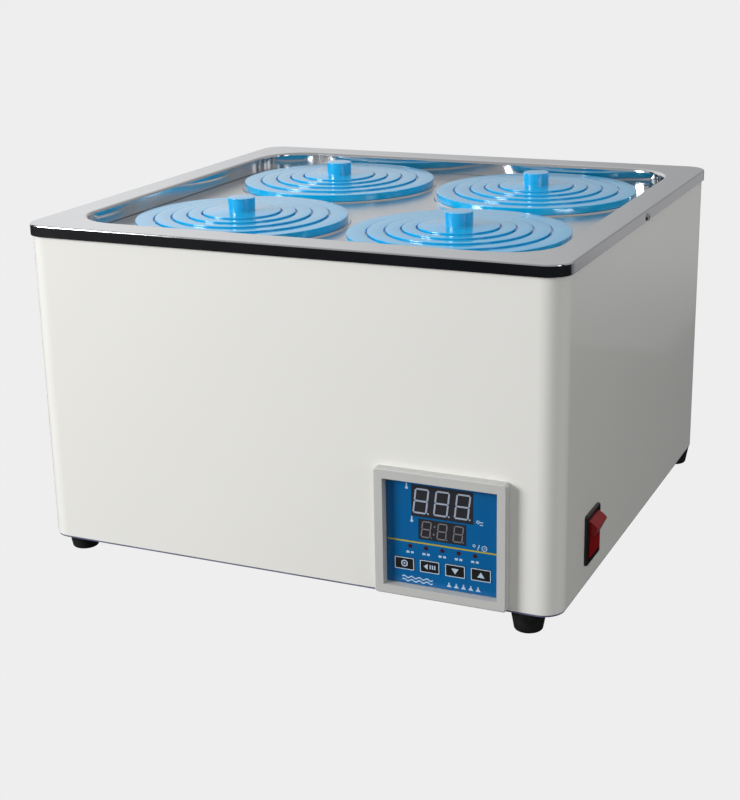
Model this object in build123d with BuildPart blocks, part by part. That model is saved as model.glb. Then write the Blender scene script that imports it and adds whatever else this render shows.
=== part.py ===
"""Four-hole laboratory water bath, made as separate pieces, in millimetres.

Heights are measured from the bench. Places across and along the bath are measured from the
middle of the casing, and the planes below shift them so that the origin is under the middle
of the whole object.
"""

import os
from math import atan2, cos, degrees, radians, sin, sqrt

from build123d import *

os.makedirs("parts", exist_ok=True)

# ---------------------------------------------------------------- casing and rim
CASE_W = 340.0           # casing, side to side
CASE_D = 324.0           # casing, front to back
CASE_R = 13.0            # radius of its upright corners
SHEET = 1.2              # painted steel sheet
FOOT_H = 13.0            # bench to the base plate
SHELL_H = 195.0          # casing wall that shows between the base plate and the rim
RIM_H = 7.0              # turned-down edge of the tank rim
RIM_OVER = 1.5           # how far the rim stands out past the casing
RIM_EDGE_R = 1.0         # rounding of the rim's top edge
RIM_SCREW_HEAD = 0.9     # head of the screw in each side of the rim
TANK_SHEET = 1.0         # stainless steel sheet

SHELL_Z = FOOT_H + SHEET
RIM_Z = FOOT_H + SHELL_H
RIM_TOP = RIM_Z + RIM_H

# ---------------------------------------------------------------- tank and cover
RECESS_W, RECESS_D = 305.0, 283.0
RECESS_R = 32.0
LEDGE = 9.0              # shelf inside the recess that carries the cover plate
COVER_DROP = 10.6        # rim top down to the cover plate's top face
COVER_GAP = 0.75         # cover plate edge to the recess wall
TANK_FLOOR = 101.0
FLOOR_R = 12.0
LID_DX, LID_DY = 73.0, 71.5
LID_SHIFT = 3.3          # the four holes lie this much to the right of the middle
HOLE_R = 60.0
LAND_R, LAND_H = 68.6, 0.8

COVER_TOP = RIM_TOP - COVER_DROP
LEDGE_TOP = COVER_TOP - TANK_SHEET
TANK_W = RECESS_W - 2 * LEDGE
TANK_D = RECESS_D - 2 * LEDGE
TANK_R = RECESS_R - 4.0

# ---------------------------------------------------------------- nested ring lids
RING_OUT = [66.8, 54.5, 43.6, 33.7, 24.4]    # outer radius of each ring, then of the cap
EDGE_T = 4.5             # height of the largest ring's edge
RING_STEP = 0.8          # each ring stands this much above the one around it
RING_GROOVE = 1.2        # open groove between a ring's top and the next ring's edge
REBATE = 1.8             # depth of the seat that the next ring lies in
SEAT_W = 4.5             # width of that seat
HUB_T = 1.6              # how far a ring's middle reaches into the hole below
RING_GAP = 0.3
KNOB_R, KNOB_H = 8.5, 8.5

# ---------------------------------------------------------------- controller
PANEL_X = 101.0          # middle of the controller, right of the casing's middle
BEZEL_W, BEZEL_H = 80.4, 76.4
BEZEL_OUT = 6.0
BEZEL_Z = FOOT_H + 40.2  # middle of the bezel
WINDOW_W, WINDOW_H = 69.2, 64.8
BOX_W, BOX_H, BOX_DEPTH = 72.0, 68.0, 43.5
BOX_WALL = 1.6
OVERLAY_OUT = 0.6        # overlay's face in front of the casing's face
OVERLAY_T = 1.0
BOARD_IN = 6.0           # casing's face back to the circuit board
BOARD_T = 1.6
MAIN_W, MAIN_H, MAIN_Z = 37.2, 19.0, FOOT_H + 59.8
SECOND_W, SECOND_H, SECOND_Z = 28.8, 12.4, FOOT_H + 42.9
LED_Z, LED_PITCH, LED_R = FOOT_H + 31.4, 9.9, 1.2
KEY_Z, KEY_PITCH = FOOT_H + 20.3, 15.6
KEY_W, KEY_H = 12.1, 7.6
KEY_TRAVEL = 0.5
KEY_NAMES = ["set_key", "shift_key", "down_key", "up_key"]

# ---------------------------------------------------------------- mains switch
SWITCH_Y, SWITCH_Z = -102.0, FOOT_H + 29.0
SWITCH_W, SWITCH_H = 26.0, 31.0
SWITCH_LIP = 2.0         # flange that stands out from the casing
SWITCH_BODY = 18.0       # depth inside the casing
ROCKER_R = 12.6          # ends of the rocker, round its pivot
ROCKER_W = 19.4
ROCKER_SWING = 26.0      # degrees from one stop to the other
ROCKER_FACE = 5.5        # pivot to each half of the face
PIVOT_IN = 3.0           # pivot behind the casing's face
ROCKER_GAP = 0.3

# ---------------------------------------------------------------- rear of the bath
SERVICE_X, SERVICE_Z = 45.0, 65.0
SERVICE_W, SERVICE_H = 216.0, 84.0
INLET_X, INLET_Z = 100.0, 56.0
INLET_W, INLET_H = 27.6, 31.6
DRAIN_X, DRAIN_Y, DRAIN_Z = -112.0, 96.0, 66.0
PIPE_R, DRAIN_R, DRAIN_BORE = 5.5, 6.0, 4.5   # pipe, its spigot and its bore
SPIGOT_L = 20.0
DRAIN_OUT = 22.0
PLUG_HEAD, PLUG_TAB = 4.0, 9.0

# ---------------------------------------------------------------- origin
# The rocker's raised end reaches furthest to the right, and the drain plug furthest back.
rocker_span = sqrt(ROCKER_R ** 2 - ROCKER_FACE ** 2)
swing = radians(ROCKER_SWING)
ROCKER_OUT = ROCKER_FACE * cos(swing) + rocker_span * sin(swing) - PIVOT_IN
MID_X = (RIM_OVER + RIM_SCREW_HEAD - ROCKER_OUT) / 2
MID_Y = (BEZEL_OUT - (DRAIN_OUT + PLUG_HEAD + PLUG_TAB)) / 2


def level(z):
    """Horizontal plane at a height, centred on the casing."""
    return Plane(origin=(MID_X, MID_Y, z))


def facing_front(y):
    """Upright plane that faces the front: local x runs right and local y is height."""
    return Plane(origin=(MID_X, MID_Y + y, 0), x_dir=(1, 0, 0), z_dir=(0, -1, 0))


def facing_right(x):
    """Upright plane that faces right: local x runs to the back and local y is height."""
    return Plane(origin=(MID_X + x, MID_Y, 0), x_dir=(0, 1, 0), z_dir=(1, 0, 0))


def place(x, y, z):
    """A point given from the casing's middle, as the model's own point."""
    return (MID_X + x, MID_Y + y, z)


def outline(plane, width, height, radius=0.0, at=(0.0, 0.0)):
    """A rectangle on a plane, with rounded corners if a radius is given."""
    with BuildSketch(plane) as sketch:
        with Locations(at):
            if radius:
                RectangleRounded(width, height, radius)
            else:
                Rectangle(width, height)
    return sketch.sketch


def discs(plane, radius, spots):
    """Equal circles on a plane, at the given spots."""
    with BuildSketch(plane) as sketch:
        with Locations(*spots):
            Circle(radius)
    return sketch.sketch


def hexagons(plane, across_flats, spots):
    """Equal hexagons on a plane, at the given spots."""
    with BuildSketch(plane) as sketch:
        with Locations(*spots):
            RegularPolygon(across_flats / 2, 6, major_radius=False)
    return sketch.sketch


def save(piece, label):
    """Name a finished piece and write its file."""
    piece.part.label = label
    export_step(piece.part, f"parts/{label}.step")


FRONT, BACK, RIGHT = -CASE_D / 2, CASE_D / 2, CASE_W / 2
REAR_FACE = BACK + SHEET

# The feet aren't on one rectangle: the left front one is set back, the right back one outwards.
FOOT_SPOTS = [(-157.5, -142.0), (149.0, -151.2), (-157.5, 150.4), (158.6, 150.4)]
BASE_SCREW_SPOTS = [(x, y) for y in (-154.0, 154.0) for x in (-75.0, 30.0)]
BASE_SCREW_SPOTS += [(x, y) for x in (-162.0, 162.0) for y in (-60.0, 60.0)]
SERVICE_SCREW_SPOTS = [
    (SERVICE_X + x, SERVICE_Z + y) for x in (-103.0, 0.0, 103.0) for y in (-37.0, 37.0)
]
INLET_SCREW_SPOTS = [(INLET_X - 20.0, INLET_Z), (INLET_X + 20.0, INLET_Z)]
GLAND_SPOTS = [(95.0, -20.0), (95.0, -48.0), (118.0, 40.0)]
HEATER_SPOTS, PROBE_SPOT = GLAND_SPOTS[:2], GLAND_SPOTS[2]
SCREW_R, SCREW_HEAD_R, SCREW_HEAD_T = 1.5, 3.0, 1.8

# ================================================================ casing
RETURN_W = 12.0
SHELL_TOP = RIM_TOP - TANK_SHEET
RIM_SCREW_Z = RIM_Z + 2.4

with BuildPart() as casing_shell:
    extrude(outline(level(SHELL_Z), CASE_W, CASE_D, CASE_R), amount=SHELL_TOP - SHELL_Z)
    inner_w, inner_d = CASE_W - 2 * SHEET, CASE_D - 2 * SHEET
    extrude(
        outline(level(SHELL_Z + SHEET), inner_w, inner_d, CASE_R - SHEET),
        amount=SHELL_TOP - SHELL_Z - 2 * SHEET,
        mode=Mode.SUBTRACT,
    )
    opening_w, opening_d = CASE_W - 2 * RETURN_W, CASE_D - 2 * RETURN_W
    extrude(
        outline(level(FOOT_H), opening_w, opening_d, CASE_R / 2),
        amount=RIM_TOP - FOOT_H,
        mode=Mode.SUBTRACT,
    )
    # Openings for the controller and the mains switch.
    extrude(
        outline(facing_front(FRONT + 5), BOX_W + 1, BOX_H + 1, at=(PANEL_X, BEZEL_Z)),
        amount=10,
        mode=Mode.SUBTRACT,
    )
    extrude(
        outline(facing_right(RIGHT - 5), 22.4, 27.4, at=(SWITCH_Y, SWITCH_Z)),
        amount=10,
        mode=Mode.SUBTRACT,
    )
    # Service opening, its screw holes and the drain's hole in the rear wall.
    extrude(
        outline(facing_front(BACK + 5), 196, 64, 4, at=(SERVICE_X, SERVICE_Z)),
        amount=10,
        mode=Mode.SUBTRACT,
    )
    extrude(
        discs(facing_front(BACK + 5), SCREW_R + 0.1, SERVICE_SCREW_SPOTS),
        amount=10,
        mode=Mode.SUBTRACT,
    )
    extrude(
        discs(facing_front(BACK + 5), PIPE_R + 0.3, [(DRAIN_X, DRAIN_Z)]),
        amount=10,
        mode=Mode.SUBTRACT,
    )
    # Holes for the screws of the base plate and feet, and for the screw in each side of the rim.
    extrude(
        discs(level(FOOT_H), SCREW_R + 0.1, BASE_SCREW_SPOTS + FOOT_SPOTS),
        amount=2 * SHEET,
        mode=Mode.SUBTRACT,
    )
    extrude(
        discs(facing_right(-CASE_W), SCREW_R + 0.1, [(0, RIM_SCREW_Z)]),
        amount=2 * CASE_W,
        mode=Mode.SUBTRACT,
    )
save(casing_shell, "casing_shell")

with BuildPart() as base_plate:
    extrude(outline(level(FOOT_H), CASE_W - 1, CASE_D - 1, CASE_R - 0.5), amount=SHEET)
    extrude(
        discs(level(FOOT_H), SCREW_R + 0.1, BASE_SCREW_SPOTS + FOOT_SPOTS),
        amount=SHEET,
        mode=Mode.SUBTRACT,
    )
    with BuildSketch(level(FOOT_H)):
        with Locations((-80, 60), (-80, -100)):
            with GridLocations(12, 1, 9, 1):
                SlotOverall(34, 4, rotation=90)
    extrude(amount=SHEET, mode=Mode.SUBTRACT)
save(base_plate, "base_plate")

with BuildPart() as rear_panel:
    extrude(
        outline(facing_front(REAR_FACE), SERVICE_W, SERVICE_H, 6, at=(SERVICE_X, SERVICE_Z)),
        amount=SHEET,
    )
    extrude(
        discs(facing_front(REAR_FACE), SCREW_R + 0.1, SERVICE_SCREW_SPOTS + INLET_SCREW_SPOTS),
        amount=SHEET,
        mode=Mode.SUBTRACT,
    )
    extrude(
        outline(facing_front(REAR_FACE), INLET_W + 0.4, INLET_H + 0.4, at=(INLET_X, INLET_Z)),
        amount=SHEET,
        mode=Mode.SUBTRACT,
    )
    with BuildSketch(facing_front(REAR_FACE)):
        with Locations((SERVICE_X - 45, SERVICE_Z)):
            with GridLocations(10, 1, 9, 1):
                SlotOverall(46, 4, rotation=90)
    extrude(amount=SHEET, mode=Mode.SUBTRACT)
save(rear_panel, "rear_panel")


# ================================================================ feet and screws
FOOT_TOP_R, FOOT_END_R = 10.6, 8.2
FOOT_TAPER = degrees(atan2(FOOT_TOP_R - FOOT_END_R, FOOT_H))
FOOT_BORE_R, FOOT_BORE_H = 3.4, 7.0   # counterbore that hides the screw's head
with BuildPart() as rubber_feet:
    extrude(discs(level(0), FOOT_END_R, FOOT_SPOTS), amount=FOOT_H, taper=-FOOT_TAPER)
    fillet(rubber_feet.edges().filter_by(GeomType.CIRCLE).group_by(Axis.Z)[0], 1.6)
    extrude(discs(level(0), FOOT_BORE_R, FOOT_SPOTS), amount=FOOT_BORE_H, mode=Mode.SUBTRACT)
    extrude(discs(level(0), SCREW_R + 0.1, FOOT_SPOTS), amount=FOOT_H, mode=Mode.SUBTRACT)
save(rubber_feet, "rubber_feet")

with BuildPart() as base_screws:
    # Pan-head screws up through the feet and through the edge of the base plate.
    foot_seat = level(FOOT_BORE_H)
    extrude(discs(foot_seat, SCREW_HEAD_R, FOOT_SPOTS), amount=-SCREW_HEAD_T)
    extrude(discs(foot_seat, SCREW_R, FOOT_SPOTS), amount=FOOT_H - FOOT_BORE_H + SHEET + 3)
    extrude(
        discs(level(FOOT_H - SCREW_HEAD_T), SCREW_HEAD_R, BASE_SCREW_SPOTS), amount=SCREW_HEAD_T
    )
    extrude(discs(level(FOOT_H), SCREW_R, BASE_SCREW_SPOTS), amount=2 * SHEET + 3)
save(base_screws, "base_screws")

with BuildPart() as rear_screws:
    # Pan-head screws of the rear panel, then those of the mains inlet.
    extrude(
        discs(facing_front(REAR_FACE), SCREW_HEAD_R, SERVICE_SCREW_SPOTS), amount=-SCREW_HEAD_T
    )
    extrude(discs(facing_front(REAR_FACE), SCREW_R, SERVICE_SCREW_SPOTS), amount=2 * SHEET + 3)
    inlet_face = REAR_FACE + 2.5
    extrude(
        discs(facing_front(inlet_face), SCREW_HEAD_R, INLET_SCREW_SPOTS), amount=-SCREW_HEAD_T
    )
    extrude(discs(facing_front(inlet_face), SCREW_R, INLET_SCREW_SPOTS), amount=2.5 + SHEET + 3)
save(rear_screws, "rear_screws")

with BuildPart() as rim_screws:
    for direction in (-1, 1):
        head = facing_right(direction * (RIGHT + RIM_OVER))
        extrude(discs(head, 2.4, [(0, RIM_SCREW_Z)]), amount=direction * RIM_SCREW_HEAD)
        extrude(discs(head, SCREW_R, [(0, RIM_SCREW_Z)]), amount=-direction * 6)
save(rim_screws, "rim_screws")

# ================================================================ tank
with BuildPart() as tank_cavity:
    # The space for the water, with a rounded edge all round the floor.
    extrude(outline(level(TANK_FLOOR), TANK_W, TANK_D, TANK_R), amount=LEDGE_TOP - TANK_FLOOR)
    fillet(tank_cavity.faces().sort_by(Axis.Z)[0].edges(), FLOOR_R)

with BuildPart() as tank:
    extrude(
        outline(
            level(TANK_FLOOR - TANK_SHEET),
            TANK_W + 2 * TANK_SHEET,
            TANK_D + 2 * TANK_SHEET,
            TANK_R + TANK_SHEET,
        ),
        amount=LEDGE_TOP - TANK_FLOOR,
    )
    fillet(tank.faces().sort_by(Axis.Z)[0].edges(), FLOOR_R + TANK_SHEET)
    add(tank_cavity.part, mode=Mode.SUBTRACT)
    # Holes in the floor for the two heater ends, the probe and the drain.
    extrude(
        discs(level(TANK_FLOOR - TANK_SHEET), 6.2, GLAND_SPOTS),
        amount=TANK_SHEET,
        mode=Mode.SUBTRACT,
    )
    extrude(
        discs(level(TANK_FLOOR - TANK_SHEET), PIPE_R + 0.1, [(DRAIN_X, DRAIN_Y)]),
        amount=TANK_SHEET,
        mode=Mode.SUBTRACT,
    )
save(tank, "tank")

with BuildPart() as tank_rim:
    # Drawn frame welded to the top of the tank: turned-down edge, flange, recess and ledge.
    rim_w, rim_d = CASE_W + 2 * RIM_OVER, CASE_D + 2 * RIM_OVER
    extrude(outline(level(RIM_Z), rim_w, rim_d, CASE_R + RIM_OVER), amount=RIM_H)
    fillet(tank_rim.faces().sort_by(Axis.Z)[-1].edges(), RIM_EDGE_R)
    extrude(
        outline(
            level(RIM_Z),
            rim_w - 2 * TANK_SHEET,
            rim_d - 2 * TANK_SHEET,
            CASE_R + RIM_OVER - TANK_SHEET,
        ),
        amount=RIM_H - TANK_SHEET,
        mode=Mode.SUBTRACT,
    )
    extrude(
        outline(
            level(LEDGE_TOP - TANK_SHEET),
            RECESS_W + 2 * TANK_SHEET,
            RECESS_D + 2 * TANK_SHEET,
            RECESS_R + TANK_SHEET,
        ),
        amount=RIM_TOP - LEDGE_TOP,
    )
    extrude(
        outline(level(LEDGE_TOP), RECESS_W, RECESS_D, RECESS_R),
        amount=RIM_TOP - LEDGE_TOP,
        mode=Mode.SUBTRACT,
    )
    extrude(
        outline(level(LEDGE_TOP - TANK_SHEET), TANK_W, TANK_D, TANK_R),
        amount=TANK_SHEET,
        mode=Mode.SUBTRACT,
    )
    top_face = tank_rim.faces().filter_by(Plane.XY).sort_by(Axis.Z)[-1]
    fillet(top_face.inner_wires()[0].edges(), 2.0)
    # Screw holes in the middle of each side of the rim.
    for side in (-1, 1):
        extrude(
            discs(facing_right(side * CASE_W), SCREW_R + 0.1, [(0, RIM_SCREW_Z)]),
            amount=-side * (CASE_W - RECESS_W / 2 - 5),
            mode=Mode.SUBTRACT,
        )
save(tank_rim, "tank_rim")

JACKET = 12.0
JACKET_Z = TANK_FLOOR - TANK_SHEET - JACKET
with BuildPart() as insulation:
    jacket_w = TANK_W + 2 * (TANK_SHEET + 0.4)
    jacket_d = TANK_D + 2 * (TANK_SHEET + 0.4)
    extrude(
        outline(level(JACKET_Z), jacket_w + 2 * JACKET, jacket_d + 2 * JACKET, TANK_R + JACKET),
        amount=200 - JACKET_Z,
    )
    extrude(
        outline(level(TANK_FLOOR - TANK_SHEET - 0.3), jacket_w, jacket_d, TANK_R + 1.4),
        amount=200,
        mode=Mode.SUBTRACT,
    )
    extrude(discs(level(JACKET_Z), 13, GLAND_SPOTS), amount=JACKET, mode=Mode.SUBTRACT)
    extrude(discs(level(JACKET_Z), 14, [(0, 0)]), amount=JACKET, mode=Mode.SUBTRACT)
    extrude(
        discs(level(JACKET_Z), PIPE_R + 1, [(DRAIN_X, DRAIN_Y)]),
        amount=JACKET,
        mode=Mode.SUBTRACT,
    )
save(insulation, "insulation")

HEATER_R, HEATER_Z, HEATER_TAIL = 4.0, TANK_FLOOR + 12, 78.0
with BuildPart() as heater_element:
    with BuildLine() as heater_path:
        FilletPolyline(
            place(95, -20, HEATER_TAIL),
            place(95, -20, HEATER_Z),
            place(95, 95, HEATER_Z),
            place(-95, 95, HEATER_Z),
            place(-95, -100, HEATER_Z),
            place(95, -100, HEATER_Z),
            place(95, -48, HEATER_Z),
            place(95, -48, HEATER_TAIL),
            radius=8,
        )
    with BuildSketch(Plane(origin=heater_path.line @ 0, z_dir=heater_path.line % 0)):
        Circle(HEATER_R)
    sweep(path=heater_path.line)
save(heater_element, "heater_element")

PROBE_R, PROBE_TOP, PROBE_END = 3.0, TANK_FLOOR + 26, 82.0
with BuildPart() as temperature_probe:
    extrude(discs(level(PROBE_END), PROBE_R, [PROBE_SPOT]), amount=PROBE_TOP - PROBE_END)
    fillet(temperature_probe.edges().sort_by(Axis.Z)[-1], 2.0)
save(temperature_probe, "temperature_probe")

GLAND_R = 6.0
with BuildPart() as tank_glands:
    # Each gland is a hexagon inside the tank on a sleeve that passes through the floor.
    extrude(hexagons(level(TANK_FLOOR), 15, GLAND_SPOTS), amount=3.5)
    extrude(discs(level(TANK_FLOOR - 9), GLAND_R, GLAND_SPOTS), amount=9)
    extrude(
        discs(level(TANK_FLOOR - 9), HEATER_R + 0.1, HEATER_SPOTS),
        amount=20,
        mode=Mode.SUBTRACT,
    )
    extrude(
        discs(level(TANK_FLOOR - 9), PROBE_R + 0.1, [PROBE_SPOT]),
        amount=20,
        mode=Mode.SUBTRACT,
    )
    # Lock nuts under the floor.
    nut_top = TANK_FLOOR - TANK_SHEET
    with BuildSketch(level(nut_top)):
        with Locations(*GLAND_SPOTS):
            RegularPolygon(8.5, 6, major_radius=False)
            Circle(GLAND_R + 0.1, mode=Mode.SUBTRACT)
    extrude(amount=-5)
save(tank_glands, "tank_glands")

with BuildPart() as thermal_cutout:
    extrude(discs(level(nut_top - 6), 9, [(0, 0)]), amount=6)
    extrude(discs(level(nut_top - 10), 6, [(0, 0)]), amount=4)
save(thermal_cutout, "thermal_cutout")

with BuildPart() as drain_pipe:
    with BuildLine() as drain_path:
        FilletPolyline(
            place(DRAIN_X, DRAIN_Y, TANK_FLOOR),
            place(DRAIN_X, DRAIN_Y, DRAIN_Z),
            place(DRAIN_X, BACK + DRAIN_OUT, DRAIN_Z),
            radius=18,
        )
    with BuildSketch(Plane(origin=drain_path.line @ 0, z_dir=drain_path.line % 0)):
        Circle(PIPE_R)
        Circle(DRAIN_BORE, mode=Mode.SUBTRACT)
    sweep(path=drain_path.line)
    # Thicker spigot for the hose, outside the casing.
    mouth = facing_front(BACK + DRAIN_OUT)
    spigot = discs(mouth, DRAIN_R, [(DRAIN_X, DRAIN_Z)])
    extrude(spigot - discs(mouth, DRAIN_BORE, [(DRAIN_X, DRAIN_Z)]), amount=SPIGOT_L)
save(drain_pipe, "drain_pipe")

with BuildPart() as drain_plug:
    # Rubber bung in the mouth of the pipe, slimmer than the spigot, with a head and a pull tab.
    extrude(discs(mouth, DRAIN_BORE - 0.08, [(DRAIN_X, DRAIN_Z)]), amount=12)
    extrude(discs(mouth, DRAIN_R - 0.2, [(DRAIN_X, DRAIN_Z)]), amount=-PLUG_HEAD)
    extrude(
        outline(facing_front(BACK + DRAIN_OUT + PLUG_HEAD), 3, 9, at=(DRAIN_X, DRAIN_Z)),
        amount=-PLUG_TAB,
    )
    fillet(drain_plug.faces().sort_by(Axis.Y)[-1].edges(), 1.2)
save(drain_plug, "drain_plug")

# ================================================================ shelf and cover
LID_SPOTS = {
    "front_left": (LID_SHIFT - LID_DX, -LID_DY),
    "front_right": (LID_SHIFT + LID_DX, -LID_DY),
    "back_left": (LID_SHIFT - LID_DX, LID_DY),
    "back_right": (LID_SHIFT + LID_DX, LID_DY),
}
SHELF_Z, SHELF_W, SHELF_D = TANK_FLOOR + 33.0, 262.0, 236.0

with BuildPart() as shelf:
    extrude(outline(level(SHELF_Z), SHELF_W, SHELF_D, 22), amount=TANK_SHEET)
    with BuildSketch(level(SHELF_Z)):
        with GridLocations(18, 18, 13, 12):
            Circle(5.5)
    extrude(amount=TANK_SHEET, mode=Mode.SUBTRACT)
save(shelf, "shelf")

with BuildPart() as shelf_legs:
    # Strips welded under both sides of the shelf stand on the tank floor, outside the heater.
    leg_spots = [(side * (SHELF_W / 2 - TANK_SHEET / 2), 0) for side in (-1, 1)]
    with BuildSketch(level(TANK_FLOOR)):
        with Locations(*leg_spots):
            Rectangle(TANK_SHEET, SHELF_D - 60)
    extrude(amount=SHELF_Z - TANK_FLOOR)
save(shelf_legs, "shelf_legs")

with BuildPart() as cover_plate:
    cover_w, cover_d = RECESS_W - 2 * COVER_GAP, RECESS_D - 2 * COVER_GAP
    extrude(outline(level(LEDGE_TOP), cover_w, cover_d, RECESS_R - COVER_GAP), amount=TANK_SHEET)
    # Raised round land under each lid, pressed up out of the sheet.
    with BuildSketch(level(COVER_TOP)):
        with Locations(*LID_SPOTS.values()):
            Circle(LAND_R)
    extrude(amount=LAND_H, taper=35)
    extrude(
        discs(level(LEDGE_TOP), LAND_R - 1.2, LID_SPOTS.values()),
        amount=LAND_H,
        mode=Mode.SUBTRACT,
    )
    extrude(
        discs(level(LEDGE_TOP), HOLE_R, LID_SPOTS.values()), amount=10, mode=Mode.SUBTRACT
    )
save(cover_plate, "cover_plate")

LID_Z = COVER_TOP + LAND_H
LIP_T, LIP_DOWN = 2.0, 5.0


def ring_top(index):
    """Height of a ring's top face, counted from the largest ring."""
    return LID_Z + EDGE_T + index * RING_STEP


def ring_hole(index):
    """Radius of a ring's hole, or none for the cap."""
    return RING_OUT[index + 1] - SEAT_W if index + 1 < len(RING_OUT) else 0.0


def ring_profile(index):
    """Half-section of a ring or of the cap, as points of radius and height."""
    top, outer = ring_top(index), RING_OUT[index]
    if index == 0:
        low = LID_Z
        lip_out = HOLE_R - 0.5
        under = [
            (outer, low),
            (lip_out, low),
            (lip_out, low - LIP_DOWN),
            (lip_out - LIP_T, low - LIP_DOWN),
            (lip_out - LIP_T, low),
        ]
        base = low
    else:
        flange = ring_top(index - 1) - REBATE
        hub = ring_hole(index - 1) - RING_GAP
        base = flange - HUB_T
        under = [(outer, flange), (hub, flange), (hub, base)]
    if index + 1 < len(RING_OUT):
        hole = ring_hole(index)
        rebate = RING_OUT[index + 1] + RING_GROOVE
        inner = [(hole, base), (hole, top - REBATE), (rebate, top - REBATE), (rebate, top)]
    else:
        inner = [(0, base), (0, top)]
    return [(outer, top)] + under + inner


def lid_piece(spot, index):
    """One ring, or the cap with its knob, round the middle of a cover hole."""
    section = Plane(origin=place(*spot, 0), x_dir=(1, 0, 0), z_dir=(0, -1, 0))
    with BuildPart() as piece:
        with BuildSketch(section):
            with BuildLine():
                Polyline(*ring_profile(index), close=True)
            make_face()
        revolve(axis=Axis(place(*spot, 0), (0, 0, 1)))
        if index + 1 == len(RING_OUT):
            extrude(discs(level(ring_top(index)), KNOB_R, [spot]), amount=KNOB_H)
            fillet(piece.edges().filter_by(GeomType.CIRCLE).sort_by(Axis.Z)[-1], 0.8)
        rim = piece.edges().filter_by(GeomType.CIRCLE).filter_by_position(
            Axis.Z, ring_top(index) - 0.01, ring_top(index) + 0.01
        )
        fillet(rim.sort_by(SortBy.RADIUS)[-1], 0.5)
    return piece


for corner, spot in LID_SPOTS.items():
    for index in range(len(RING_OUT)):
        is_cap = index + 1 == len(RING_OUT)
        name = f"lid_{corner}_cap" if is_cap else f"lid_{corner}_ring_{index + 1}"
        save(lid_piece(spot, index), name)

# ================================================================ controller
with BuildPart() as bezel:
    extrude(
        outline(facing_front(FRONT), BEZEL_W, BEZEL_H, 2.0, at=(PANEL_X, BEZEL_Z)),
        amount=BEZEL_OUT,
    )
    chamfer(bezel.faces().sort_by(Axis.Y)[0].edges(), 0.7)
    extrude(
        outline(facing_front(FRONT), WINDOW_W, WINDOW_H, at=(PANEL_X, BEZEL_Z)),
        amount=BEZEL_OUT,
        mode=Mode.SUBTRACT,
    )
save(bezel, "bezel")

with BuildPart() as controller_case:
    extrude(
        outline(facing_front(FRONT), BOX_W, BOX_H, 1.5, at=(PANEL_X, BEZEL_Z)), amount=-BOX_DEPTH
    )
    extrude(
        outline(
            facing_front(FRONT), BOX_W - 2 * BOX_WALL, BOX_H - 2 * BOX_WALL, at=(PANEL_X, BEZEL_Z)
        ),
        amount=-(BOX_DEPTH - BOX_WALL),
        mode=Mode.SUBTRACT,
    )
save(controller_case, "controller_case")

LED_SPOTS = [(PANEL_X + (i - 2) * LED_PITCH, LED_Z) for i in range(5)]
KEY_SPOTS = [(PANEL_X + (i - 1.5) * KEY_PITCH, KEY_Z) for i in range(4)]
OVERLAY_FACE = FRONT - OVERLAY_OUT
OVERLAY_BACK = OVERLAY_FACE + OVERLAY_T

with BuildPart() as overlay_panel:
    overlay = facing_front(OVERLAY_BACK)
    extrude(outline(overlay, 68.4, 64.4, at=(PANEL_X, BEZEL_Z)), amount=OVERLAY_T)
    cuts = [(MAIN_W, MAIN_H, MAIN_Z), (SECOND_W, SECOND_H, SECOND_Z)]
    for width, height, z in cuts:
        extrude(
            outline(overlay, width + 0.3, height + 0.3, at=(PANEL_X, z)),
            amount=OVERLAY_T,
            mode=Mode.SUBTRACT,
        )
    extrude(discs(overlay, LED_R + 0.1, LED_SPOTS), amount=OVERLAY_T, mode=Mode.SUBTRACT)
    for spot in KEY_SPOTS:
        extrude(
            outline(overlay, KEY_W + 0.4, KEY_H + 0.4, 0.6, at=spot),
            amount=OVERLAY_T,
            mode=Mode.SUBTRACT,
        )
save(overlay_panel, "overlay_panel")

BOARD_FACE = FRONT + BOARD_IN
with BuildPart() as controller_board:
    extrude(
        outline(facing_front(BOARD_FACE + BOARD_T), 67, 63, at=(PANEL_X, BEZEL_Z)), amount=BOARD_T
    )
save(controller_board, "controller_board")

DISPLAY_DEPTH = BOARD_FACE - OVERLAY_FACE - 0.2
with BuildPart() as main_display:
    extrude(
        outline(facing_front(BOARD_FACE), MAIN_W, MAIN_H, at=(PANEL_X, MAIN_Z)),
        amount=DISPLAY_DEPTH,
    )
save(main_display, "main_display")

with BuildPart() as second_display:
    extrude(
        outline(facing_front(BOARD_FACE), SECOND_W, SECOND_H, at=(PANEL_X, SECOND_Z)),
        amount=DISPLAY_DEPTH,
    )
save(second_display, "second_display")

with BuildPart() as indicator_leds:
    extrude(discs(facing_front(BOARD_FACE), LED_R, LED_SPOTS), amount=DISPLAY_DEPTH + 0.3)
save(indicator_leds, "indicator_leds")

KEY_PROUD = 0.3
STEM_END = OVERLAY_BACK + 2.0
with BuildPart() as key_switches:
    for spot in KEY_SPOTS:
        extrude(outline(facing_front(BOARD_FACE), 6, 6, at=spot), amount=2.2)
    button = BOARD_FACE - STEM_END - KEY_TRAVEL - 0.2
    extrude(discs(facing_front(BOARD_FACE), 1.7, KEY_SPOTS), amount=button)
save(key_switches, "key_switches")


def key(spot):
    """A keycap in its window, with a flange behind the overlay and a stem to its switch."""
    with BuildPart() as piece:
        cap_front = OVERLAY_T + KEY_PROUD
        extrude(outline(facing_front(OVERLAY_BACK), KEY_W, KEY_H, 0.5, at=spot), amount=cap_front)
        fillet(piece.faces().sort_by(Axis.Y)[0].edges(), 0.2)
        extrude(outline(facing_front(OVERLAY_BACK), KEY_W + 1.6, KEY_H + 1.6, at=spot), amount=-0.8)
        extrude(discs(facing_front(OVERLAY_BACK), 1.5, [spot]), amount=-2.0)
    return piece


for name, spot in zip(KEY_NAMES, KEY_SPOTS):
    save(key(spot), name)

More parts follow.
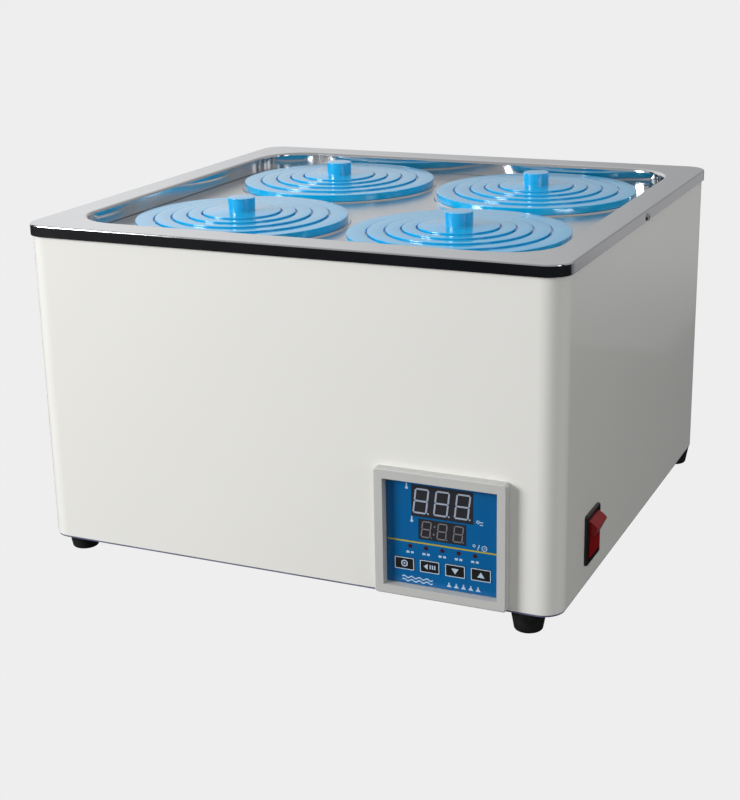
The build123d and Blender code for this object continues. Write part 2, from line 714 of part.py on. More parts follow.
# ================================================================ mains switch
FRAME_FACE = RIGHT + SWITCH_LIP
PIVOT_X = RIGHT - PIVOT_IN
CAVITY_W = ROCKER_W + 2 * ROCKER_GAP
CAVITY_H = 2 * (ROCKER_R + ROCKER_GAP)
PIN_R, PIN_L = 1.5, 0.9

with BuildPart() as rocker_frame:
    extrude(
        outline(facing_right(RIGHT), SWITCH_W, SWITCH_H, 1.5, at=(SWITCH_Y, SWITCH_Z)),
        amount=SWITCH_LIP,
    )
    chamfer(rocker_frame.faces().sort_by(Axis.X)[-1].edges(), 0.6)
    extrude(outline(facing_right(RIGHT), 22, 27, at=(SWITCH_Y, SWITCH_Z)), amount=-SWITCH_BODY)
    extrude(
        outline(facing_right(FRAME_FACE), CAVITY_W, CAVITY_H, at=(SWITCH_Y, SWITCH_Z)),
        amount=-(FRAME_FACE - RIGHT + SWITCH_BODY - 2),
        mode=Mode.SUBTRACT,
    )
    # Bearing holes for the rocker's pivot pins, in both cheeks.
    with BuildSketch(facing_front(SWITCH_Y + 11)):
        with Locations((PIVOT_X, SWITCH_Z)):
            Circle(PIN_R + 0.05)
    extrude(amount=22, mode=Mode.SUBTRACT)
save(rocker_frame, "rocker_frame")

half_swing = radians(ROCKER_SWING / 2)
tip_u = ROCKER_FACE * cos(half_swing) + rocker_span * sin(half_swing)
tip_v = rocker_span * cos(half_swing) - ROCKER_FACE * sin(half_swing)
heel_u = -3.0
heel_v = sqrt(ROCKER_R ** 2 - heel_u ** 2)
tip_angle, heel_angle = degrees(atan2(tip_v, tip_u)), degrees(atan2(heel_v, heel_u))
# The rocker's own plane is turned about the pivot, because its lower half is pressed in.
rocker_plane = Plane(
    origin=place(PIVOT_X, SWITCH_Y + ROCKER_W / 2, SWITCH_Z),
    x_dir=(cos(half_swing), 0, -sin(half_swing)),
    z_dir=(0, -1, 0),
)

with BuildPart() as rocker:
    with BuildSketch(rocker_plane):
        with BuildLine():
            Polyline((tip_u, -tip_v), (ROCKER_FACE / cos(half_swing), 0), (tip_u, tip_v))
            CenterArc((0, 0), ROCKER_R, tip_angle, heel_angle - tip_angle)
            Line((heel_u, heel_v), (heel_u, -heel_v))
            CenterArc((0, 0), ROCKER_R, -heel_angle, heel_angle - tip_angle)
        make_face()
    extrude(amount=ROCKER_W)
    with BuildSketch(facing_front(SWITCH_Y + ROCKER_W / 2 + PIN_L)):
        with Locations((PIVOT_X, SWITCH_Z)):
            Circle(PIN_R)
    extrude(amount=ROCKER_W + 2 * PIN_L)
save(rocker, "rocker")

# ================================================================ mains inlet
INLET_FACE = REAR_FACE + 2.5
INLET_BACK = BACK - 22.0
SOCKET_W, SOCKET_H, SOCKET_DEPTH = 24.4, 16.0, 17.0
SOCKET_Z = INLET_Z + 6.0
DRAWER_W, DRAWER_H, DRAWER_Z, DRAWER_DEPTH = 22.4, 8.0, INLET_Z - 9.5, 17.0

with BuildPart() as power_inlet:
    extrude(outline(facing_front(INLET_FACE), 50, 36, 3, at=(INLET_X, INLET_Z)), amount=2.5)
    extrude(
        outline(facing_front(INLET_FACE), INLET_W, INLET_H, 1.5, at=(INLET_X, INLET_Z)),
        amount=INLET_FACE - INLET_BACK,
    )
    extrude(
        outline(facing_front(INLET_FACE), SOCKET_W, SOCKET_H, 3.5, at=(INLET_X, SOCKET_Z)),
        amount=SOCKET_DEPTH,
        mode=Mode.SUBTRACT,
    )
    extrude(
        outline(
            facing_front(INLET_FACE),
            DRAWER_W + 2 * RING_GAP,
            DRAWER_H + 2 * RING_GAP,
            at=(INLET_X, DRAWER_Z),
        ),
        amount=DRAWER_DEPTH + 0.5,
        mode=Mode.SUBTRACT,
    )
    extrude(
        discs(facing_front(INLET_FACE), SCREW_R + 0.1, INLET_SCREW_SPOTS),
        amount=2.5,
        mode=Mode.SUBTRACT,
    )
save(power_inlet, "power_inlet")

PIN_SPOTS = [(INLET_X - 7, SOCKET_Z - 2), (INLET_X + 7, SOCKET_Z - 2), (INLET_X, SOCKET_Z + 2)]
with BuildPart() as inlet_pins:
    with BuildSketch(facing_front(INLET_FACE - SOCKET_DEPTH)):
        with Locations(*PIN_SPOTS):
            Rectangle(2, 4)
    extrude(amount=-11)
save(inlet_pins, "inlet_pins")

with BuildPart() as fuse_drawer:
    extrude(
        outline(facing_front(INLET_FACE), DRAWER_W, DRAWER_H, at=(INLET_X, DRAWER_Z)),
        amount=DRAWER_DEPTH,
    )
    extrude(
        outline(facing_front(INLET_FACE), DRAWER_W + 2, DRAWER_H + 1.6, 1, at=(INLET_X, DRAWER_Z)),
        amount=-1.4,
    )
    extrude(
        outline(facing_front(INLET_FACE + 1.4), 12, 1.4, at=(INLET_X, DRAWER_Z)), amount=-1.6
    )
    # Pocket from above for the fuse.
    with BuildSketch(level(DRAWER_Z - 2.8)):
        with Locations((INLET_X, INLET_FACE - 10)):
            Rectangle(20.6, 5.8)
    extrude(amount=DRAWER_H, mode=Mode.SUBTRACT)
save(fuse_drawer, "fuse_drawer")

with BuildPart() as fuse:
    extrude(
        discs(facing_right(INLET_X - 10), 2.5, [(INLET_FACE - 10, DRAWER_Z - 0.2)]), amount=20
    )
save(fuse, "fuse")

# ================================================================ electronics bay
BAY_Z = SHELL_Z
with BuildPart() as solid_state_relay:
    extrude(outline(level(BAY_Z), 62, 48, 2, at=(-70, -30)), amount=3)
    extrude(outline(level(BAY_Z + 3), 58, 45, 2, at=(-70, -30)), amount=22)
save(solid_state_relay, "solid_state_relay")

with BuildPart() as terminal_block:
    extrude(outline(level(BAY_Z), 70, 20, at=(40, 30)), amount=12)
    with BuildSketch(level(BAY_Z + 12)):
        with Locations((40, 30)):
            with GridLocations(11, 1, 7, 1):
                Rectangle(1.5, 20)
    extrude(amount=6)
save(terminal_block, "terminal_block")

WIRE_R = 1.5
BAY_TERMINALS = 20.0     # height of the terminal block's clamps
WIRE_ROUTES = [
    # mains inlet to the terminal block
    [(100, 140, 50), (100, 100, 50), (52, 88, BAY_TERMINALS), (52, 40, BAY_TERMINALS)],
    # terminal block to the mains switch
    [(67, 20, BAY_TERMINALS), (67, -40, BAY_TERMINALS), (100, -98, 42), (152, -98, 42)],
    # terminal block to the controller
    [(45, 20, BAY_TERMINALS), (45, -50, BAY_TERMINALS), (85, -80, 45), (85, -118.5, 45)],
    # relay to the terminal block
    [(-41, -20, 30), (-12, -20, 30), (12, -10, BAY_TERMINALS), (12, 20, BAY_TERMINALS)],
    # relay to the controller
    [(-41, -42, 30), (0, -42, 30), (105, -70, 60), (105, -118.5, 60)],
    # relay to one end of the heater, and the other end to the terminal block
    [(-41, -31, 34), (20, -31, 34), (95, -20, 40), (95, -20, HEATER_TAIL)],
    [(95, -48, HEATER_TAIL), (95, -48, 48), (34, -30, BAY_TERMINALS), (34, 20, BAY_TERMINALS)],
    # temperature probe to the controller
    [(118, 40, PROBE_END), (118, 40, 58), (122, -70, 66), (122, -118.5, 66)],
]
with BuildPart() as wiring:
    for route in WIRE_ROUTES:
        points = [place(*point) for point in route]
        runs = [(Vector(*b) - Vector(*a)).length for a, b in zip(points, points[1:])]
        with BuildLine() as wire_path:
            FilletPolyline(*points, radius=0.3 * min(runs))
        with BuildSketch(Plane(origin=wire_path.line @ 0, z_dir=wire_path.line % 0)):
            Circle(WIRE_R)
        sweep(path=wire_path.line)
save(wiring, "wiring")
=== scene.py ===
from math import cos, pi, radians, sin

import bmesh
import bpy
from mathutils import Matrix, Vector


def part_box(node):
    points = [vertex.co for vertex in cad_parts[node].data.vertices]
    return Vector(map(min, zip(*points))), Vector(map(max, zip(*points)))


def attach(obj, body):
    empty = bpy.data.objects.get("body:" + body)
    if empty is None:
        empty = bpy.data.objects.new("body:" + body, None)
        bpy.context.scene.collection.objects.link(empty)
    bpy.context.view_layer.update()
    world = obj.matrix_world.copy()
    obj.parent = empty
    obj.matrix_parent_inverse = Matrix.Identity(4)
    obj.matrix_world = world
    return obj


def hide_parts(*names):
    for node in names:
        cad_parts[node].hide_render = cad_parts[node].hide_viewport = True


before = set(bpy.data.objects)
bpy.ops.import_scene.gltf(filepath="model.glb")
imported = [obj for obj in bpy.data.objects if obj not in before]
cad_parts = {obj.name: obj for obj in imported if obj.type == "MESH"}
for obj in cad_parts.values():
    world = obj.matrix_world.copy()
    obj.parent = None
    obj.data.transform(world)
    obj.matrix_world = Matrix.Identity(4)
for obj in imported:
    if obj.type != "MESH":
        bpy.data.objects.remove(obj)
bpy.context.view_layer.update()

MM = 0.001
scene = bpy.context.scene


# ---------------------------------------------------------------- places taken from the frame
def middle(node):
    """Centre of a CAD node's box."""
    low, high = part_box(node)
    return (low + high) / 2


CASE = middle("casing_shell")
BENCH_TO_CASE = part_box("base_plate")[0].z
OVERLAY_LOW, OVERLAY_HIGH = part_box("overlay_panel")
PANEL_X = middle("overlay_panel").x


# ---------------------------------------------------------------- camera
def add_camera():
    """A 70 mm lens in front of the bath, to its right and above it."""
    data = bpy.data.cameras.new("camera")
    data.lens = 70.4
    data.shift_y = -0.0025
    camera = bpy.data.objects.new("camera", data)
    scene.collection.objects.link(camera)
    yaw, pitch, roll = radians(-24.63), radians(17.68), radians(-1.20)
    ahead = Vector((sin(yaw) * cos(pitch), cos(yaw) * cos(pitch), -sin(pitch)))
    level_right = Vector((cos(yaw), -sin(yaw), 0))
    level_up = level_right.cross(ahead)
    right = level_right * cos(roll) + level_up * sin(roll)
    up = level_up * cos(roll) - level_right * sin(roll)
    turn = Matrix((right, up, -ahead)).transposed().to_4x4()
    place = Vector((CASE.x + 0.4067, CASE.y - 0.9235, BENCH_TO_CASE + 0.3845))
    camera.matrix_world = Matrix.Translation(place) @ turn
    scene.camera = camera


add_camera()


# ---------------------------------------------------------------- material helpers
def srgb(code):
    """A colour written as #RRGGBB, as linear red, green, blue and alpha."""
    values = [int(code[i : i + 2], 16) / 255 for i in (1, 3, 5)]
    linear = [v / 12.92 if v <= 0.04045 else ((v + 0.055) / 1.055) ** 2.4 for v in values]
    return (*linear, 1.0)


def put(tree, kind, inputs=None, links=None, **settings):
    """Add a node with its settings, its inputs' values and the links into it."""
    node = tree.nodes.new(kind)
    for name, value in settings.items():
        setattr(node, name, value)
    for name, value in (inputs or {}).items():
        node.inputs[name].default_value = value
    for name, source in (links or {}).items():
        tree.links.new(source, node.inputs[name])
    return node


def surface(name, **sockets):
    """A material's tree, its Principled shader and the object's own coordinates."""
    made = bpy.data.materials.new(name)
    made.use_nodes = True
    tree = made.node_tree
    tree.nodes.clear()
    inputs = {key.replace("_", " "): value for key, value in sockets.items()}
    shader = put(tree, "ShaderNodeBsdfPrincipled", inputs)
    put(tree, "ShaderNodeOutputMaterial", links={"Surface": shader.outputs["BSDF"]})
    here = put(tree, "ShaderNodeTexCoord").outputs["Object"]
    return made, tree, shader, here


def patches(tree, here, size_mm, stretch=(1, 1, 1), detail=3.0):
    """Soft noise over the surface, with patches of a size in millimetres."""
    scale = [s / (size_mm * MM) for s in stretch]
    spread = put(tree, "ShaderNodeMapping", {"Scale": scale}, {"Vector": here})
    noise = put(
        tree,
        "ShaderNodeTexNoise",
        {"Scale": 1.0, "Detail": detail},
        {"Vector": spread.outputs["Vector"]},
    )
    return noise.outputs["Fac"]


def worn(tree, shader, here, colours, size_mm, roughness):
    """Drift between two hex colours and two roughnesses, as handling and wear leave them."""
    amount = patches(tree, here, size_mm)
    colour = put(
        tree,
        "ShaderNodeMix",
        {6: srgb(colours[0]), 7: srgb(colours[1])},
        {0: amount},
        data_type="RGBA",
    )
    tree.links.new(colour.outputs[2], shader.inputs["Base Color"])
    gloss = put(
        tree,
        "ShaderNodeMapRange",
        {"From Min": 0.3, "From Max": 0.7, "To Min": roughness[0], "To Max": roughness[1]},
        {"Value": amount},
    )
    tree.links.new(gloss.outputs["Result"], shader.inputs["Roughness"])


def relief(tree, shader, here, grain_mm, depth_mm, stretch=(1, 1, 1)):
    """Fine relief, with its grain and depth in millimetres."""
    height = patches(tree, here, grain_mm, stretch, 2.0)
    bump = put(tree, "ShaderNodeBump", {"Distance": depth_mm * MM}, {"Height": height})
    tree.links.new(bump.outputs["Normal"], shader.inputs["Normal"])


def finish(name, colours, patch_mm, roughness, grain_mm, depth_mm, stretch=(1, 1, 1), **sockets):
    """A worn, grained material of this name."""
    made, tree, shader, here = surface(name, **sockets)
    worn(tree, shader, here, colours, patch_mm, roughness)
    relief(tree, shader, here, grain_mm, depth_mm, stretch)
    return made


# ---------------------------------------------------------------- materials
# Powder-coated steel sheet: white under a glossy skin, with the faint orange peel of baking.
ENAMEL = finish(
    "powder_coat_white_baked", ("#F2F1EC", "#EEEDE8"), 90, (0.30, 0.36), 5, 0.004,
    Coat_Weight=0.5, Coat_Roughness=0.07,
)
# Drawn and polished stainless steel: a mirror with soft smears from cleaning.
MIRROR = finish(
    "stainless_steel_polished", ("#DEDEDF", "#D3D4D6"), 40, (0.07, 0.12), 30, 0.012, Metallic=1.0
)
# Rolled stainless sheet: bright but satin, with fine streaks along the rolling direction.
SATIN = finish(
    "stainless_sheet_rolled", ("#DCDDDE", "#CDCFD1"), 45, (0.20, 0.28), 1.2, 0.003, (0.04, 1, 1),
    Metallic=1.0,
)
# Moulded polypropylene: saturated blue under a smooth skin that mirrors the room at low angles.
BLUE = finish(
    "polypropylene_blue_moulded", ("#00AEE6", "#00A4DE"), 25, (0.13, 0.20), 9, 0.010,
    IOR=1.49, Coat_Weight=0.8, Coat_Roughness=0.14,
)
# Moulded ABS: light grey, with the fine matt texture of an eroded mould.
GREY = finish("abs_light_grey_moulded", ("#C8C8C5", "#C0C0BD"), 25, (0.42, 0.52), 0.7, 0.015)
# Moulded black nylon: half matt, with the same fine texture.
BLACK = finish("nylon_black_moulded", ("#101011", "#191919"), 12, (0.34, 0.46), 0.6, 0.010)
# Polycarbonate film printed on its back: an even deep blue behind a satin face.
FILM = finish("polycarbonate_film_printed", ("#0064A2", "#005C97"), 15, (0.26, 0.34), 0.5, 0.003)
# Smoked epoxy cast over unlit segments: near black and glossy.
SMOKE = finish("epoxy_smoked_cast", ("#36363B", "#2B2B30"), 8, (0.14, 0.22), 2.0, 0.003)
# Diffusing resin of the segments, unlit: pale grey on the upper row, duller on the lower one.
SEGMENT_PALE = finish("resin_segment_pale", ("#ABB5C7", "#9CA7BA"), 2, (0.35, 0.45), 0.5, 0.003)
SEGMENT_DULL = finish("resin_segment_dull", ("#7F7D80", "#706E71"), 2, (0.35, 0.45), 0.5, 0.003)
# Screen inks on the film and keys: thin, opaque and satin.
PALE_INK = finish("screen_ink_pale", ("#BFD2E6", "#B2C7DE"), 3, (0.4, 0.5), 0.4, 0.003)
YELLOW_INK = finish("screen_ink_yellow", ("#BFAE2A", "#B0A026"), 3, (0.4, 0.5), 0.4, 0.003)
KEY_FILM = finish("key_film_black_printed", ("#191818", "#222120"), 3, (0.3, 0.4), 0.4, 0.004)
# Tinted polycarbonate of the lit rocker: deep red, glossy, letting a little light through.
RED = finish(
    "polycarbonate_red_moulded", ("#A30A12", "#84070D"), 6, (0.28, 0.36), 2.0, 0.004,
    IOR=1.45, Specular_IOR_Level=0.3, Transmission_Weight=0.1,
)
# Red lens resin of the indicators, unlit: almost brown.
LENS = finish("resin_red_unlit", ("#4A2228", "#3C1A20"), 1, (0.2, 0.3), 0.5, 0.003)
# Moulded nitrile rubber: black and matt, greyer where it has rubbed.
RUBBER = finish("nitrile_rubber_moulded", ("#0E0F11", "#1B1B1B"), 5, (0.5, 0.7), 0.6, 0.02)
# Bright zinc plate of the screws.
ZINC = finish(
    "steel_zinc_plated", ("#C9CBCD", "#B2B4B6"), 2, (0.25, 0.4), 0.6, 0.006, Metallic=1.0
)
# Zinc-plated sheet with a blue passivation: the base plate's edge shows as a bluish line.
BLUE_ZINC = finish(
    "steel_zinc_blue_passivated", ("#AEB2D6", "#9DA3CB"), 12, (0.35, 0.5), 3.0, 0.006,
    Metallic=0.8,
)
# Pressed mineral wool: dull yellow-grey fibre.
WOOL = finish(
    "mineral_wool_pressed", ("#C9BE9B", "#A2977A"), 3, (0.85, 0.95), 0.8, 0.4, (1, 1, 0.3)
)
# Nickel-alloy heater sheath, tinted straw and blue by its own heat.
SHEATH = finish(
    "nickel_alloy_heat_tinted", ("#94826B", "#5C5F6C"), 14, (0.28, 0.42), 0.8, 0.006, Metallic=1.0
)
# Turned brass of the glands and contacts.
BRASS = finish(
    "brass_turned", ("#C9A86A", "#B59254"), 5, (0.22, 0.34), 0.4, 0.005, (1, 1, 6), Metallic=1.0
)
# Unglazed steatite of the thermal cutout.
STEATITE = finish("steatite_unglazed", ("#DAD5C8", "#C9C2B2"), 4, (0.6, 0.75), 0.6, 0.02)
# Glass-epoxy laminate under green solder resist, with its tracks showing as streaks.
LAMINATE = finish(
    "glass_epoxy_solder_resist", ("#0F5A33", "#1E7345"), 2.5, (0.25, 0.4), 1.0, 0.01, (0.2, 1, 1)
)
# Drawn glass of the fuse.
GLASS = finish(
    "soda_glass_drawn", ("#F2F6F5", "#E4ECEA"), 4, (0.03, 0.08), 4.0, 0.003,
    IOR=1.52, Transmission_Weight=0.85,
)
# Extruded PVC round the wires.
PVC = finish("pvc_red_extruded", ("#A3241F", "#8E1D19"), 8, (0.35, 0.45), 1.0, 0.008)


# ---------------------------------------------------------------- CAD nodes that show as they are
FINISHES = {
    ENAMEL: ["casing_shell", "rear_panel"],
    BLUE_ZINC: ["base_plate"],
    RUBBER: ["rubber_feet", "drain_plug"],
    ZINC: ["base_screws", "rear_screws", "rim_screws"],
    MIRROR: ["tank", "tank_rim", "drain_pipe", "temperature_probe"],
    SATIN: ["cover_plate", "shelf", "shelf_legs"],
    WOOL: ["insulation"],
    SHEATH: ["heater_element"],
    BRASS: ["tank_glands", "inlet_pins"],
    STEATITE: ["thermal_cutout"],
    GREY: ["bezel", "solid_state_relay", "terminal_block"],
    BLACK: ["controller_case", "key_switches", "rocker_frame", "power_inlet", "fuse_drawer"],
    FILM: ["overlay_panel"],
    SMOKE: ["main_display", "second_display"],
    LENS: ["indicator_leds"],
    RED: ["rocker"],
    LAMINATE: ["controller_board"],
    KEY_FILM: ["set_key", "shift_key", "down_key", "up_key"],
    GLASS: ["fuse"],
    PVC: ["wiring"],
    BLUE: [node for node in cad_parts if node.startswith("lid_")],
}
for material, nodes in FINISHES.items():
    for node in nodes:
        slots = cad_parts[node].data.materials
        slots.clear()
        slots.append(material)


# ---------------------------------------------------------------- making pieces
CREASE = radians(30)
ROUND_STEPS = 4
TURN_SIDES = 144
ON_AXIS = 0.001
MERGE_TURNED, MERGE_PRINT, MERGE_SCREW = 0.001 * MM, 0.002 * MM, 0.005 * MM


def add_piece(name, work, material, body, replaced=()):
    """Turn a bmesh into a piece that rides on a body and stands for the CAD nodes it replaces."""
    bmesh.ops.recalc_face_normals(work, faces=work.faces)
    mesh = bpy.data.meshes.new(name)
    work.to_mesh(mesh)
    work.free()
    mesh.materials.clear()
    mesh.materials.append(material)
    mesh.shade_smooth()
    mesh.set_sharp_from_angle(angle=CREASE)
    piece = bpy.data.objects.new(name, mesh)
    scene.collection.objects.link(piece)
    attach(piece, body)
    if replaced:
        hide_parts(*replaced)


def eased(points, radius):
    """A closed outline, its corners rounded by less where sides are short, sharp on the axis."""
    rounded = []
    for i, point in enumerate(points):
        here, before = Vector(point), Vector(points[i - 1])
        if abs(here.x) < ON_AXIS:
            rounded.append(here)
            continue
        after = Vector(points[(i + 1) % len(points)])
        reach = min(radius, 0.45 * (before - here).length, 0.45 * (after - here).length)
        start = here + (before - here).normalized() * reach
        end = here + (after - here).normalized() * reach
        for k in range(ROUND_STEPS + 1):
            t = k / ROUND_STEPS
            rounded.append(start * (1 - t) ** 2 + here * 2 * t * (1 - t) + end * t**2)
    return rounded


def turned(section, centre):
    """Spin a closed section of radius and height (mm) round an upright axis."""
    work = bmesh.new()
    loops = []
    for k in range(TURN_SIDES):
        angle = 2 * pi * k / TURN_SIDES
        spoke = Vector((cos(angle), sin(angle), 0))
        spots = [centre + (spoke * p.x + Vector((0, 0, p.y))) * MM for p in section]
        loops.append([work.verts.new(spot) for spot in spots])
    for k in range(TURN_SIDES):
        one, other = loops[k], loops[(k + 1) % TURN_SIDES]
        for i, point in enumerate(section):
            j = (i + 1) % len(section)
            if max(point.x, section[j].x) > ON_AXIS:
                work.faces.new((one[i], one[j], other[j], other[i]))
    bmesh.ops.remove_doubles(work, verts=work.verts, dist=MERGE_TURNED)
    return work


# ---------------------------------------------------------------- ring lids
# Millimetres: what each ring's section has beside the radii and heights of its box.
MOULD_ROUND = 0.35
GROOVE, SEAT, REBATE, HUB, HUB_GAP = 1.2, 4.5, 1.8, 1.6, 0.3
KNOB_RADIUS, KNOB_HEIGHT = 8.5, 8.5
LIP_OUT, LIP_WALL, LIP_DOWN = 59.5, 2.0, 5.0


def lid_section(radii, tops, index, underside):
    """Half-section of one ring, or of the cap with its knob, as radius and height in mm."""
    outer, top = radii[index], tops[index]
    if index == 0:
        base = underside
        lip_in, low = LIP_OUT - LIP_WALL, base - LIP_DOWN
        section = [(outer, top), (outer, base), (LIP_OUT, base), (LIP_OUT, low)]
        section += [(lip_in, low), (lip_in, base)]
    else:
        flange = tops[index - 1] - REBATE
        hub = outer - SEAT - HUB_GAP
        base = flange - HUB
        section = [(outer, top), (outer, flange), (hub, flange), (hub, base)]
    if index + 1 == len(radii):
        knob_top = top + KNOB_HEIGHT
        section += [(0, base), (0, knob_top)]
        return section + [(KNOB_RADIUS, knob_top), (KNOB_RADIUS, top)]
    hole, seat = radii[index + 1] - SEAT, radii[index + 1] + GROOVE
    floor = top - REBATE
    return section + [(hole, base), (hole, floor), (seat, floor), (seat, top)]


def add_lid(corner):
    """The four rings and the cap of one lid, each a piece of its own."""
    names = [f"lid_{corner}_ring_{n}" for n in (1, 2, 3, 4)] + [f"lid_{corner}_cap"]
    boxes = [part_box(name) for name in names]
    radii = [(high.x - low.x) / 2 / MM for low, high in boxes]
    tops = [high.z / MM for low, high in boxes]
    tops[-1] -= KNOB_HEIGHT
    underside = boxes[0][0].z / MM + LIP_DOWN
    centre = middle(names[0])
    centre.z = 0
    for index, name in enumerate(names):
        section = eased(lid_section(radii, tops, index, underside), MOULD_ROUND)
        add_piece(f"{name}_moulding", turned(section, centre), BLUE, name, [name])


for corner in ("front_left", "front_right", "back_left", "back_right"):
    add_lid(corner)


# ---------------------------------------------------------------- printed marks and segments
PRINT_THICK = 0.05


def printed(name, shapes, face, material, body):
    """Thin raised print: flat shapes in mm, right of the panel's middle and above the bench."""
    work = bmesh.new()
    for shape in shapes:
        work.faces.new([work.verts.new((PANEL_X + x * MM, face, z * MM)) for x, z in shape])
    bmesh.ops.remove_doubles(work, verts=work.verts, dist=MERGE_PRINT)
    raised = bmesh.ops.extrude_face_region(work, geom=work.faces[:])["geom"]
    moved = [part for part in raised if isinstance(part, bmesh.types.BMVert)]
    bmesh.ops.translate(work, verts=moved, vec=(0, -PRINT_THICK * MM, 0))
    add_piece(name, work, material, body)


def band(outer, inner):
    """The strip between two outlines with equal numbers of points, as four-sided shapes."""
    count = len(outer)
    return [
        [outer[i], outer[(i + 1) % count], inner[(i + 1) % count], inner[i]] for i in range(count)
    ]


def block(x, z, width, height):
    """A rectangle round its middle."""
    corners = ((-1, -1), (1, -1), (1, 1), (-1, 1))
    return [(x + a * width / 2, z + b * height / 2) for a, b in corners]


def round_shape(x, z, radius, sides=20):
    """A disc, as one many-sided shape."""
    angles = [2 * pi * k / sides for k in range(sides)]
    return [(x + radius * cos(a), z + radius * sin(a)) for a in angles]


def wave(x, z, length, rise, thick, waves):
    """A wavy stroke, as four-sided shapes."""
    count = 10 * waves
    xs = [x + length * (k / count - 0.5) for k in range(count + 1)]
    low = [z + rise * sin(2 * pi * waves * k / count) - thick / 2 for k in range(count + 1)]
    line = list(zip(xs, low))
    return [
        [(xa, za), (xb, zb), (xb, zb + thick), (xa, za + thick)]
        for (xa, za), (xb, zb) in zip(line, line[1:])
    ]


# Sideways lean per height, the gap between segments in mm, and the point's place and radius in
# strokes.
LEAN, SEGMENT_GAP = 0.12, 0.12
POINT_OUT, POINT_RADIUS, POINT_SIDES = 1.25, 0.55, 12


def figure_eight(x, z, width, height, stroke):
    """The seven segments and the point of one unlit display figure, leaning to the right."""
    half_w, half_h, cut = (width - stroke) / 2, (height - stroke) / 2, stroke / 2
    tip_x, tip_z = half_w - SEGMENT_GAP, half_h - SEGMENT_GAP
    bar = [(-tip_x, 0), (cut - tip_x, cut), (tip_x - cut, cut)]
    bar += [(tip_x, 0), (tip_x - cut, -cut), (cut - tip_x, -cut)]
    post = [(0, SEGMENT_GAP), (cut, SEGMENT_GAP + cut), (cut, tip_z - cut)]
    post += [(0, tip_z), (-cut, tip_z - cut), (-cut, SEGMENT_GAP + cut)]
    shapes = [[(px, pz + level) for px, pz in bar] for level in (-half_h, 0, half_h)]
    for side in (-half_w, half_w):
        shapes += [[(px + side, pz + level) for px, pz in post] for level in (-half_h, 0)]
    spot, radius = half_w + POINT_OUT * stroke, POINT_RADIUS * stroke
    shapes.append(round_shape(spot, -half_h, radius, POINT_SIDES))
    return [[(x + px + LEAN * pz, z + pz) for px, pz in shape] for shape in shapes]


MAIN_Z, SECOND_Z = middle("main_display").z / MM, middle("second_display").z / MM
MAIN_FACE, SECOND_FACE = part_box("main_display")[0].y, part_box("second_display")[0].y
upper_row = sum([figure_eight(x, MAIN_Z, 8.8, 15.4, 1.0) for x in (-13.0, -0.4, 12.2)], [])
printed("upper_figures", upper_row, MAIN_FACE, SEGMENT_PALE, "casing")
lower_row = sum([figure_eight(x, SECOND_Z, 6.0, 10.2, 0.75) for x in (-9.9, -0.2, 9.6)], [])
for z in (-2.4, 2.4):
    lower_row.append(round_shape(-5.0 + LEAN * z, SECOND_Z + z, 0.6, POINT_SIDES))
printed("lower_figures", lower_row, SECOND_FACE, SEGMENT_DULL, "casing")

FILM_FACE = OVERLAY_LOW.y
FILM_WIDE = (OVERLAY_HIGH.x - OVERLAY_LOW.x) / MM
LED_Z = middle("indicator_leds").z / MM
LED_PITCH = 9.9
KEYS = ("set_key", "shift_key", "down_key", "up_key")
KEY_HALF_W, KEY_HALF_H = 6.05, 3.8

RULE_ABOVE_LEDS, RULE_THICK, RULE_SHORTER = 2.9, 0.9, 0.6
rule = [block(0, LED_Z + RULE_ABOVE_LEDS, FILM_WIDE - RULE_SHORTER, RULE_THICK)]
printed("yellow_rule", rule, FILM_FACE, YELLOW_INK, "casing")


def key_place(key):
    """A key's middle, right of the panel's middle and above the bench, in mm."""
    return (middle(key).x - PANEL_X) / MM, middle(key).z / MM


def rounded_block(x, z, half_w, half_h, radius):
    """A rectangle with rounded corners."""
    corners = ((-1, -1), (1, -1), (1, 1), (-1, 1))
    outline = eased([(x + a * half_w, z + b * half_h) for a, b in corners], radius)
    return [tuple(point) for point in outline]


def overlay_marks():
    """Pale print on the film: bars under the lamps and small symbols."""
    shapes = []
    for lamp in range(5):
        x, low = (lamp - 2) * LED_PITCH, LED_Z - 3.7
        shapes += [block(x - 1.4, low, 1.9, 1.3), block(x + 1.3, low, 1.7, 1.3)]
    # Thermometer left of each row, and a degree ring right of the upper one.
    for x, z in ((-21.6, MAIN_Z + 8.2), (-18.6, SECOND_Z + 5.4)):
        shapes += [round_shape(x, z - 1.0, 0.9), block(x, z + 0.9, 0.8, 2.0)]
    shapes += band(round_shape(21.5, MAIN_Z - 7.6, 1.0), round_shape(21.5, MAIN_Z - 7.6, 0.5))
    shapes += [block(23.6, MAIN_Z - 9.2, 1.9, 0.6), block(23.6, MAIN_Z - 7.6, 1.9, 0.6)]
    # Degree ring, stroke and clock right of the lower row.
    low = SECOND_Z - 6.2
    shapes += band(round_shape(19.2, low + 0.9, 0.9), round_shape(19.2, low + 0.9, 0.45))
    shapes += [[(20.9, low - 1.5), (21.5, low - 1.5), (22.7, low + 1.7), (22.1, low + 1.7)]]
    shapes += band(round_shape(25.4, low, 1.7), round_shape(25.4, low, 1.25))
    shapes += [block(25.4, low + 0.35, 0.4, 0.7), block(25.9, low - 0.2, 0.6, 0.4)]
    # Water waves at the lower left, and a row of small flasks at the lower right.
    foot = key_place("set_key")[1] - 9.2
    for row in (-1.1, 0.9):
        shapes += wave(-15.5, foot + row, 19.0, 0.55, 0.75, 4)
    for flask in range(5):
        x = 4.0 + 4.4 * flask
        body = [(x - 1.5, foot - 1.3), (x + 1.5, foot - 1.3), (x + 0.4, foot + 0.4)]
        shapes += [body + [(x - 0.4, foot + 0.4)], block(x, foot + 1.0, 0.8, 0.9)]
    return shapes


printed("overlay_print", overlay_marks(), FILM_FACE, PALE_INK, "casing")


